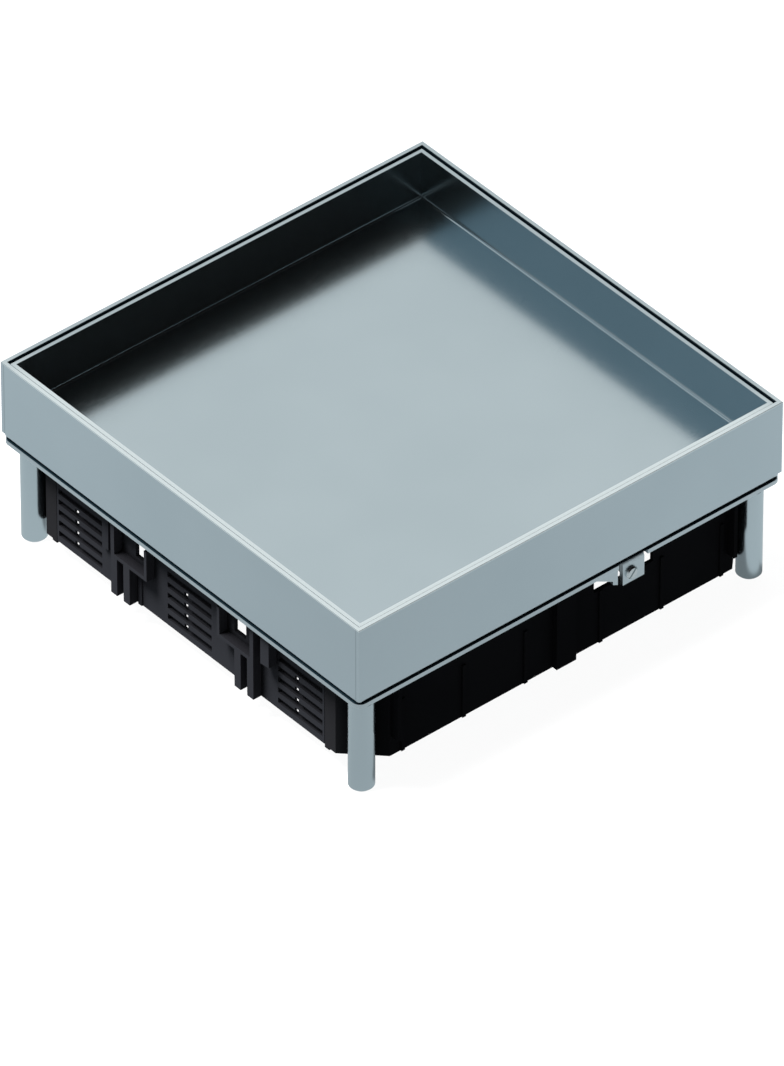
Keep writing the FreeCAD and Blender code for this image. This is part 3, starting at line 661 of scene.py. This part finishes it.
class Builder:
    """Shared ways to make meshes and hand them to the frame."""

    @staticmethod
    def link(name: str, mesh: Mesh) -> bpy.types.Object:
        """Puts a mesh in the scene.

        Args:
            name: the object's name.
            mesh: its mesh.

        Returns:
            The object.
        """
        made = bpy.data.objects.new(name, mesh)
        bpy.context.scene.collection.objects.link(made)
        return made

    @staticmethod
    def turned(rings: Sequence[Ring], segments: int = 48) -> Mesh:
        """A closed turned mesh from its first ring to its last, both on the axis.

        Args:
            rings: the rings, in metres.
            segments: points round a ring.

        Returns:
            The mesh.
        """
        shape = bmesh.new()
        rows: List[List[bmesh.types.BMVert]] = []
        for ring in rings:
            if ring.radius == 0.0:
                rows.append([shape.verts.new((0.0, 0.0, ring.height))] * segments)
                continue
            row = []
            for step in range(segments):
                angle = 2 * math.pi * step / segments
                reach = ring.outline.reach(ring.radius, angle)
                spot = (reach * math.cos(angle), reach * math.sin(angle), ring.height)
                row.append(shape.verts.new(spot))
            rows.append(row)
        for lower, upper in zip(rows, rows[1:]):
            for step in range(segments):
                after = (step + 1) % segments
                corners = [lower[step], lower[after], upper[after], upper[step]]
                shape.faces.new(list(dict.fromkeys(corners)))
        bmesh.ops.recalc_face_normals(shape, faces=shape.faces)
        mesh = bpy.data.meshes.new("turned")
        shape.to_mesh(mesh)
        shape.free()
        return mesh

    @staticmethod
    def merged(meshes: Sequence[Mesh], move: Vector) -> Mesh:
        """One mesh from several, moved together.

        Args:
            meshes: the meshes.
            move: how far they move.

        Returns:
            The mesh.
        """
        shape = bmesh.new()
        for mesh in meshes:
            shape.from_mesh(mesh)
        bmesh.ops.translate(shape, verts=shape.verts, vec=move)
        mesh = bpy.data.meshes.new("merged")
        shape.to_mesh(mesh)
        shape.free()
        return mesh

    @staticmethod
    def grown(name: str, tree: Tree, values: Dict[str, object]) -> Mesh:
        """The plain mesh that a tree of geometry nodes gives.

        Args:
            name: a name for the carrier.
            tree: the tree.
            values: the tree's inputs by socket name.

        Returns:
            The mesh, without the modifier.
        """
        carrier = Builder.link(name, bpy.data.meshes.new(name))
        modifier = carrier.modifiers.new(name, "NODES")
        modifier.node_group = tree
        for item in tree.interface.items_tree:
            if item.item_type == "SOCKET" and item.in_out == "INPUT" and item.name in values:
                modifier[item.identifier] = values[item.name]
        graph = bpy.context.evaluated_depsgraph_get()
        mesh = bpy.data.meshes.new_from_object(carrier.evaluated_get(graph))
        carrier.modifiers.clear()
        bpy.data.objects.remove(carrier)
        return mesh

    @staticmethod
    def settle(name: str, mesh: Mesh, finish: Finish, body: str, slot: str, *stood_for: str) -> None:
        """Finishes a piece and hands it to the frame.

        Args:
            name: the piece's name.
            mesh: its mesh, in place.
            finish: its finish.
            body: the body that it rides on.
            slot: the record's material slot; not used.
            stood_for: the nodes that it stands for.
        """
        mesh.materials.clear()
        mesh.materials.append(WARDROBE.material(finish))
        mesh.polygons.foreach_set("use_smooth", [True] * len(mesh.polygons))
        mesh.set_sharp_from_angle(angle=SHARP_ANGLE)
        piece = Builder.link(name, mesh)
        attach(piece, body)
        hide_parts(*stood_for)
        LOG.info("made %s with %d faces", name, len(mesh.polygons))


class NodeRules:
    """Geometry node trees for what repeats or follows a rule."""

    KINDS = {float: "NodeSocketFloat", int: "NodeSocketInt", bpy.types.Object: "NodeSocketObject",
             Material: "NodeSocketMaterial"}
    CREST = 0.85
    ROOT = 0.15

    @classmethod
    def start(cls, name: str, inputs: Dict[str, type]) -> Tuple[Canvas, Sequence[Socket]]:
        """Starts a tree with named inputs.

        Args:
            name: the tree's name.
            inputs: input names with their kinds.

        Returns:
            The canvas and the sockets of the inputs.
        """
        tree = bpy.data.node_groups.new(name, "GeometryNodeTree")
        tree.interface.new_socket(name="Geometry", in_out="INPUT", socket_type="NodeSocketGeometry")
        for label, kind in inputs.items():
            tree.interface.new_socket(name=label, in_out="INPUT", socket_type=cls.KINDS[kind])
        tree.interface.new_socket(name="Geometry", in_out="OUTPUT", socket_type="NodeSocketGeometry")
        canvas = Canvas(tree)
        return canvas, canvas.add("NodeGroupInput").outputs

    @staticmethod
    def close(canvas: Canvas, geometry: Socket, material: Socket) -> None:
        """Realizes the instances, sets the material and gives the result out.

        Args:
            canvas: the canvas of the tree.
            geometry: what the tree has made.
            material: the material that it gets.
        """
        real = canvas.add("GeometryNodeRealizeInstances", {0: geometry}).outputs[0]
        inputs = {"Geometry": real, "Material": material}
        dressed = canvas.add("GeometryNodeSetMaterial", inputs).outputs[0]
        canvas.add("NodeGroupOutput", {0: dressed})

    @classmethod
    def round_a_square(cls) -> Tree:
        """Copies of one piece, two on each side of a square.

        Returns:
            The tree.
        """
        inputs = {"Piece": bpy.types.Object, "Spacing": float, "Line": float, "Finish": Material}
        canvas, given = cls.start("round_a_square", inputs)
        piece = canvas.add("GeometryNodeObjectInfo", {"Object": given["Piece"]}).outputs["Geometry"]
        first = canvas.join(canvas.math("MULTIPLY", given["Spacing"], -0.5),
                            canvas.math("MULTIPLY", given["Line"], -1.0), 0.0)
        step = canvas.join(given["Spacing"], 0.0, 0.0)
        inputs = {"Count": 2, "Start Location": first, "Offset": step}
        pair = canvas.add("GeometryNodeMeshLine", inputs)
        inputs = {"Points": pair.outputs[0], "Instance": piece}
        side = canvas.add("GeometryNodeInstanceOnPoints", inputs)
        middle = canvas.add("GeometryNodeMeshLine", {"Count": 4, "Offset": (0.0, 0.0, 0.0)})
        index = canvas.add("GeometryNodeInputIndex").outputs[0]
        turn = canvas.join(0.0, 0.0, canvas.math("MULTIPLY", index, math.pi / 2))
        rotation = canvas.add("FunctionNodeEulerToRotation", {0: turn}).outputs[0]
        inputs = {"Points": middle.outputs[0], "Instance": side.outputs[0], "Rotation": rotation}
        sides = canvas.add("GeometryNodeInstanceOnPoints", inputs)
        cls.close(canvas, sides.outputs[0], given["Finish"])
        return canvas.tree

    @classmethod
    def threaded_rod(cls) -> Tree:
        """A closed rod with a right-hand thread cut into it and a chamfered lower end.

        Returns:
            The tree.
        """
        inputs = {"Radius": float, "Depth": float, "Pitch": float, "Bottom": float, "Top": float,
                  "Chamfer": float, "Around": int, "Along": int, "Finish": Material}
        canvas, given = cls.start("threaded_rod", inputs)
        grid = canvas.add("GeometryNodeMeshGrid", {
            "Size X": 1.0, "Size Y": 1.0, "Vertices X": given["Around"], "Vertices Y": given["Along"]})
        across, along, _ = canvas.split(canvas.add("GeometryNodeInputPosition").outputs[0])
        turn = canvas.math("ADD", across, 0.5)
        share = canvas.math("ADD", along, 0.5)
        length = canvas.math("SUBTRACT", given["Top"], given["Bottom"])
        height = canvas.math("MULTIPLY_ADD", share, length, given["Bottom"])
        turns = canvas.math("DIVIDE", height, given["Pitch"])
        phase = canvas.math("FRACT", canvas.math("SUBTRACT", turns, turn))
        flank = canvas.math("ABSOLUTE", canvas.math("MULTIPLY_ADD", phase, 2.0, -1.0))
        cut = canvas.math("MULTIPLY", canvas.ramp(flank, cls.CREST, cls.ROOT), given["Depth"])
        lift = canvas.math("SUBTRACT", height, given["Bottom"])
        bevel = canvas.math("MAXIMUM", canvas.math("SUBTRACT", given["Chamfer"], lift), 0.0)
        radius = canvas.math("SUBTRACT", given["Radius"], canvas.math("MAXIMUM", cut, bevel))
        rows = canvas.math("SUBTRACT", given["Along"], 1.0)
        from_end = canvas.math("MINIMUM", share, canvas.math("SUBTRACT", 1.0, share))
        pole = canvas.math("MINIMUM", canvas.math("MULTIPLY", from_end, rows), 1.0)
        reach = canvas.math("MULTIPLY", radius, pole)
        angle = canvas.math("MULTIPLY", turn, 2 * math.pi)
        spot = canvas.join(canvas.math("MULTIPLY", reach, canvas.math("COSINE", angle)),
                           canvas.math("MULTIPLY", reach, canvas.math("SINE", angle)), height)
        inputs = {"Geometry": grid.outputs[0], "Position": spot}
        wrapped = canvas.add("GeometryNodeSetPosition", inputs)
        inputs = {"Geometry": wrapped.outputs[0], "Distance": TINY}
        closed = canvas.add("GeometryNodeMergeByDistance", inputs)
        cls.close(canvas, closed.outputs[0], given["Finish"])
        return canvas.tree


def repeat_screws(name: str, rings: Sequence[Ring], spacing: float, line: float, node: str) -> None:
    """Makes one screw and repeats it round the square.

    Args:
        name: the piece's name.
        rings: the screw's rings at their true heights.
        spacing: between the two screws of a side.
        line: from the middle of the square to the screws.
        node: the node that the set stands for.
    """
    master = Builder.link(f"{name}_master", Builder.turned(rings))
    mesh = Builder.grown(name, NodeRules.round_a_square(), {
        "Piece": master, "Spacing": spacing, "Line": line,
        "Finish": WARDROBE.material(FASTENER_STEEL)})
    bpy.data.objects.remove(master)
    Builder.settle(name, mesh, FASTENER_STEEL, "cassette", "fastener_steel", node)


@dataclass
class LidAssembly:
    """The tile tray with its stiffeners, the strip round it and the ring that carries it."""

    steel: Tuple[str, ...] = ("lid_stiffener_left", "lid_stiffener_right", "lid_bearer")
    rubber: Tuple[str, ...] = ("lid_seal", "bearer_pad")

    def dress(self) -> None:
        """Puts the finishes on the nodes."""
        WARDROBE.dress_nodes(TRAY_STEEL, "lid_tray")
        WARDROBE.dress_nodes(PLATE_STEEL, *self.steel)
        WARDROBE.dress_nodes(SEAL_RUBBER, *self.rubber)


@dataclass
class FrameAssembly:
    """The folded frame on its gasket, with the screws that hold it on the plate."""

    screw_spacing: float = 130.0 * MM
    screw_line: float = 111.0 * MM
    shank_radius: float = 2.0 * MM
    head_radius: float = 3.5 * MM
    head_height: float = 2.2 * MM
    head_edge: float = 0.35 * MM
    socket_half: float = 1.25 * MM
    socket_depth: float = 1.3 * MM
    socket_point: float = 0.3 * MM
    flare: float = 1.12
    flare_depth: float = 0.15 * MM
    thread_end: float = 0.4 * MM

    def build(self) -> None:
        """Makes the low-head screws."""
        low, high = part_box("frame_screws")
        seat = high.z - self.head_height
        rings = (
            Ring(0.0, low.z),
            Ring(self.shank_radius - self.thread_end, low.z),
            Ring(self.shank_radius, low.z + self.thread_end),
            Ring(self.shank_radius, seat),
            Ring(self.head_radius, seat),
            Ring(self.head_radius, high.z - self.head_edge),
            Ring(self.head_radius - self.head_edge, high.z),
            Ring(self.socket_half * self.flare, high.z, Outline.HEXAGON),
            Ring(self.socket_half, high.z - self.flare_depth, Outline.HEXAGON),
            Ring(self.socket_half, high.z - self.socket_depth, Outline.HEXAGON),
            Ring(0.0, high.z - self.socket_depth - self.socket_point),
        )
        repeat_screws("frame_screw_set", rings, self.screw_spacing, self.screw_line, "frame_screws")

    def dress(self) -> None:
        """Puts the finishes on the nodes."""
        WARDROBE.dress_nodes(FRAME_STEEL, "cassette_frame")
        WARDROBE.dress_nodes(GASKET_RUBBER, "base_gasket")


@dataclass
class CarrierAssembly:
    """The plate with the moulded walls under it and the screws that hold them."""

    screw_spacing: float = 110.0 * MM
    screw_line: float = 109.0 * MM
    shank_radius: float = 1.75 * MM
    head_radius: float = 3.25 * MM
    head_height: float = 2.0 * MM
    dome: Tuple[Tuple[float, float], ...] = ((0.72, 0.0), (0.92, 0.35 * MM), (1.0, 0.9 * MM))
    cross_arm: float = 1.7 * MM
    cross_depth: float = 1.2 * MM
    cross_taper: float = 0.6

    def build(self) -> None:
        """Makes the pan-head screws, which hang head down."""
        low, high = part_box("carrier_screws")
        seat = low.z + self.head_height
        rings = (
            Ring(0.0, low.z + self.cross_depth),
            Ring(self.cross_arm * self.cross_taper, low.z + self.cross_depth, Outline.CROSS),
            Ring(self.cross_arm, low.z, Outline.CROSS),
            *(Ring(self.head_radius * share, low.z + rise) for share, rise in self.dome),
            Ring(self.head_radius, seat),
            Ring(self.shank_radius, seat),
            Ring(self.shank_radius, high.z),
            Ring(0.0, high.z),
        )
        repeat_screws("carrier_screw_set", rings, self.screw_spacing, self.screw_line, "carrier_screws")

    def dress(self) -> None:
        """Puts the finishes on the nodes."""
        WARDROBE.dress_nodes(PLATE_STEEL, "base_plate")
        WARDROBE.dress_nodes(SLOTTED_BLACK, "slotted_wall_left", "slotted_wall_right")
        WARDROBE.dress_nodes(PLAIN_BLACK, "plain_wall_front", "plain_wall_back")


@dataclass
class EarthTerminal:
    """The slotted screw on the plate's tab, with its washer and nut."""

    nodes: Tuple[str, ...] = ("earth_screw", "earth_washer", "earth_nut")

    def dress(self) -> None:
        """Puts the finish on the nodes."""
        WARDROBE.dress_nodes(FASTENER_STEEL, *self.nodes)


@dataclass
class LevellingLegs:
    """Four round legs, each on a threaded spindle held by a split ring."""

    axis: float = 111.8 * MM
    thread_radius: float = 4.0 * MM
    thread_depth: float = 0.65 * MM
    pitch: float = 1.25 * MM
    chamfer: float = 1.0 * MM
    collar_radius: float = 6.0 * MM
    collar_under: float = 48.7 * MM
    collar_top: float = 52.5 * MM
    collar_edge: float = 0.25 * MM
    journal_radius: float = 3.0 * MM
    groove_radius: float = 2.4 * MM
    groove: Tuple[float, float] = (55.2 * MM, 56.0 * MM)
    drive_half: float = 1.5 * MM
    drive_depth: float = 3.0 * MM
    drive_flare: float = 1.08
    rows_per_turn: int = 8
    around: int = 33

    def grow_thread(self, bottom: float) -> Mesh:
        """The threaded shank, from its lower end to just inside the collar.

        Args:
            bottom: height of the lower end.

        Returns:
            The mesh, on the axis.
        """
        top = self.collar_under + self.pitch / 2
        rows = int((top - bottom) / self.pitch * self.rows_per_turn)
        return Builder.grown("spindle_thread", NodeRules.threaded_rod(), {
            "Radius": self.thread_radius, "Depth": self.thread_depth, "Pitch": self.pitch,
            "Bottom": bottom, "Top": top, "Chamfer": self.chamfer, "Around": self.around,
            "Along": rows, "Finish": WARDROBE.material(LEG_STEEL)})

    def turn_head(self, top: float) -> Mesh:
        """The collar, the journal with its groove and the head with its hexagon drive.

        Args:
            top: height of the head.

        Returns:
            The mesh, on the axis.
        """
        edge = self.collar_edge
        groove_low, groove_high = self.groove
        return Builder.turned((
            Ring(0.0, self.collar_under),
            Ring(self.collar_radius - edge, self.collar_under),
            Ring(self.collar_radius, self.collar_under + edge),
            Ring(self.collar_radius, self.collar_top - edge),
            Ring(self.collar_radius - edge, self.collar_top),
            Ring(self.journal_radius, self.collar_top),
            Ring(self.journal_radius, groove_low),
            Ring(self.groove_radius, groove_low),
            Ring(self.groove_radius, groove_high),
            Ring(self.journal_radius, groove_high),
            Ring(self.journal_radius, top - edge),
            Ring(self.journal_radius - edge, top),
            Ring(self.drive_half * self.drive_flare, top, Outline.HEXAGON),
            Ring(self.drive_half, top - edge, Outline.HEXAGON),
            Ring(self.drive_half, top - self.drive_depth, Outline.HEXAGON),
            Ring(0.0, top - self.drive_depth - edge),
        ))

    def build(self) -> None:
        """Makes one spindle for each corner."""
        low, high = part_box("levelling_screw_front")
        thread = self.grow_thread(low.z)
        head = self.turn_head(high.z)
        for corner in Corner:
            across, along = corner.value
            move = Vector((across * self.axis, along * self.axis, 0.0))
            mesh = Builder.merged((thread, head), move)
            name = f"threaded_spindle_{corner.label}"
            Builder.settle(name, mesh, LEG_STEEL, f"spindle_{corner.label}", "leg_steel",
                           f"levelling_screw_{corner.label}")

    def dress(self) -> None:
        """Puts the finishes on the nodes."""
        for corner in Corner:
            WARDROBE.dress_nodes(LEG_STEEL, f"levelling_leg_{corner.label}")
            WARDROBE.dress_nodes(FASTENER_STEEL, f"retaining_ring_{corner.label}")


@dataclass(frozen=True)
class Glow:
    """A soft region of the studio's light round one direction."""

    toward: Direction
    colour: Colour
    start: float
    end: float


@dataclass
class Studio:
    """Camera, soft light from all sides and a pale floor."""

    eye: Tuple[float, float, float] = (-3.5786, -4.2159, 4.5469)
    aim: Tuple[float, float, float] = (-0.01121, -0.01374, 0.026205)
    lens: float = 547.7
    sensor: float = 36.0
    clip: Tuple[float, float] = (0.5, 40.0)
    ambient: Colour = (0.5, 0.53, 0.55)
    glows: Tuple[Glow, ...] = (
        Glow((0.502, 0.591, 0.631), (0.76, 0.785, 0.795), 0.5, 0.95),
        Glow((-0.502, -0.591, 0.631), (0.007, 0.006, 0.006), 0.7, 0.95),
        Glow((0.502, -0.591, 0.631), (0.007, 0.006, 0.006), 0.57, 0.82),
        Glow((-0.502, 0.591, 0.631), (0.207, 0.284, 0.339), 0.92, 0.982),
    )
    lamp_toward: Direction = (-0.28, 0.3, 0.91)
    lamp_strength: float = 7.8
    lamp_spread: float = 25.0
    floor_half: float = 4.0
    floor_seen: Colour = (0.52, 0.56, 0.58)
    floor_matt: Colour = (0.8, 0.8, 0.8)
    veil: float = 0.25
    floor_fill: float = 0.8
    fade_span: Tuple[float, float] = (-0.45, 0.15)
    floor_fade: Tuple[float, float] = (0.88, 1.16)
    floor_bounce: float = 0.2
    shade_from: float = -100.0 * MM
    shade_to: float = 118.0 * MM
    shade_softness: float = 8.0 * MM
    shade_left: float = 0.4

    def build(self) -> None:
        """Makes the camera, the light and the floor."""
        self.set_camera()
        self.set_light()
        self.hang_lamp()
        self.lay_floor()
        bpy.context.scene.view_settings.view_transform = "Standard"

    def set_camera(self) -> None:
        """Puts the camera at the photograph's viewing angle."""
        data = bpy.data.cameras.new("camera")
        data.lens = self.lens
        data.sensor_width = self.sensor
        data.clip_start, data.clip_end = self.clip
        camera = bpy.data.objects.new("camera", data)
        camera.location = self.eye
        sight = Vector(self.aim) - Vector(self.eye)
        camera.rotation_euler = sight.to_track_quat("-Z", "Y").to_euler()
        bpy.context.scene.collection.objects.link(camera)
        bpy.context.scene.camera = camera

    def set_light(self) -> None:
        """Lights the object from a soft sky that is white only to the camera."""
        world = bpy.data.worlds.new("studio")
        canvas = Canvas.emptied(world)
        direction = canvas.add("ShaderNodeTexCoord").outputs["Generated"]
        colour: Value = rgba(self.ambient)
        for glow in self.glows:
            share = canvas.ramp(canvas.dot(direction, glow.toward), glow.start, glow.end)
            colour = canvas.blend(share, colour, glow.colour)
        light = canvas.add("ShaderNodeBackground", {"Color": colour}).outputs[0]
        white = canvas.add("ShaderNodeBackground", {"Color": rgba(WHITE)}).outputs[0]
        seen = canvas.add("ShaderNodeLightPath").outputs["Is Camera Ray"]
        canvas.add("ShaderNodeOutputWorld", {"Surface": canvas.mix(seen, light, white)})
        bpy.context.scene.world = world

    def hang_lamp(self) -> None:
        """Hangs a broad soft lamp high over the left corner, for the matt pieces."""
        data = bpy.data.lights.new("soft_lamp", "SUN")
        data.energy = self.lamp_strength
        data.angle = math.radians(self.lamp_spread)
        lamp = bpy.data.objects.new("soft_lamp", data)
        lamp.rotation_euler = Vector(self.lamp_toward).to_track_quat("Z", "Y").to_euler()
        lamp.visible_glossy = False
        bpy.context.scene.collection.objects.link(lamp)

    def reflected_floor(self, canvas: Canvas) -> Socket:
        """The strength of the floor in reflections, with a fade and a shaded patch under the object.

        Args:
            canvas: the canvas of the floor's material.

        Returns:
            The strength.
        """
        x, y, _ = canvas.split(canvas.place())
        fade = canvas.ramp(canvas.math("ADD", x, y), *self.fade_span, *self.floor_fade)
        across = canvas.math("MULTIPLY", y, -1.0)
        before = canvas.math("MINIMUM", x, across)
        beyond = canvas.math("MAXIMUM", x, across)
        begins = canvas.ramp(before, self.shade_from - self.shade_softness, self.shade_from)
        ends = canvas.ramp(beyond, self.shade_to + self.shade_softness, self.shade_to)
        patch = canvas.math("MULTIPLY", begins, ends)
        return canvas.math("MULTIPLY", fade, canvas.ramp(patch, 0.0, 1.0, 1.0, self.shade_left))

    def floor_material(self) -> Material:
        """White to the camera apart from the object's shadow, and pale to reflections.

        Returns:
            The material.
        """
        material = bpy.data.materials.new("pale_floor")
        canvas = Canvas.emptied(material)
        clear = canvas.add("ShaderNodeBsdfTransparent").outputs[0]
        matt = canvas.add("ShaderNodeBsdfDiffuse", {"Color": rgba(self.floor_matt)}).outputs[0]
        inputs = {"Color": rgba(WHITE), "Strength": self.floor_fill}
        fill = canvas.add("ShaderNodeEmission", inputs).outputs[0]
        lit = canvas.add("ShaderNodeAddShader", {0: matt, 1: fill}).outputs[0]
        shown = canvas.mix(self.veil, clear, lit)
        ray = canvas.add("ShaderNodeLightPath").outputs
        reflected = self.reflected_floor(canvas)
        strength = canvas.ramp(ray["Is Diffuse Ray"], 0.0, 1.0, reflected, self.floor_bounce)
        inputs = {"Color": rgba(self.floor_seen), "Strength": strength}
        pale = canvas.add("ShaderNodeEmission", inputs).outputs[0]
        front = canvas.mix(ray["Is Camera Ray"], pale, shown)
        behind = canvas.add("ShaderNodeNewGeometry").outputs["Backfacing"]
        canvas.add("ShaderNodeOutputMaterial", {"Surface": canvas.mix(behind, front, clear)})
        material.cycles.emission_sampling = "NONE"
        return material

    def lay_floor(self) -> None:
        """Lays the floor under the legs."""
        half = self.floor_half
        mesh = bpy.data.meshes.new("floor")
        corners = [(-half, -half, 0.0), (half, -half, 0.0), (half, half, 0.0), (-half, half, 0.0)]
        mesh.from_pydata(corners, [], [(0, 1, 2, 3)])
        mesh.materials.append(self.floor_material())
        Builder.link("floor", mesh)


def main() -> None:
    """Builds and dresses each sub-assembly, then the studio."""
    LidAssembly().dress()
    for assembly in (FrameAssembly(), CarrierAssembly(), LevellingLegs()):
        assembly.build()
        assembly.dress()
    EarthTerminal().dress()
    Studio().build()


if __name__ == "__main__":
    main()
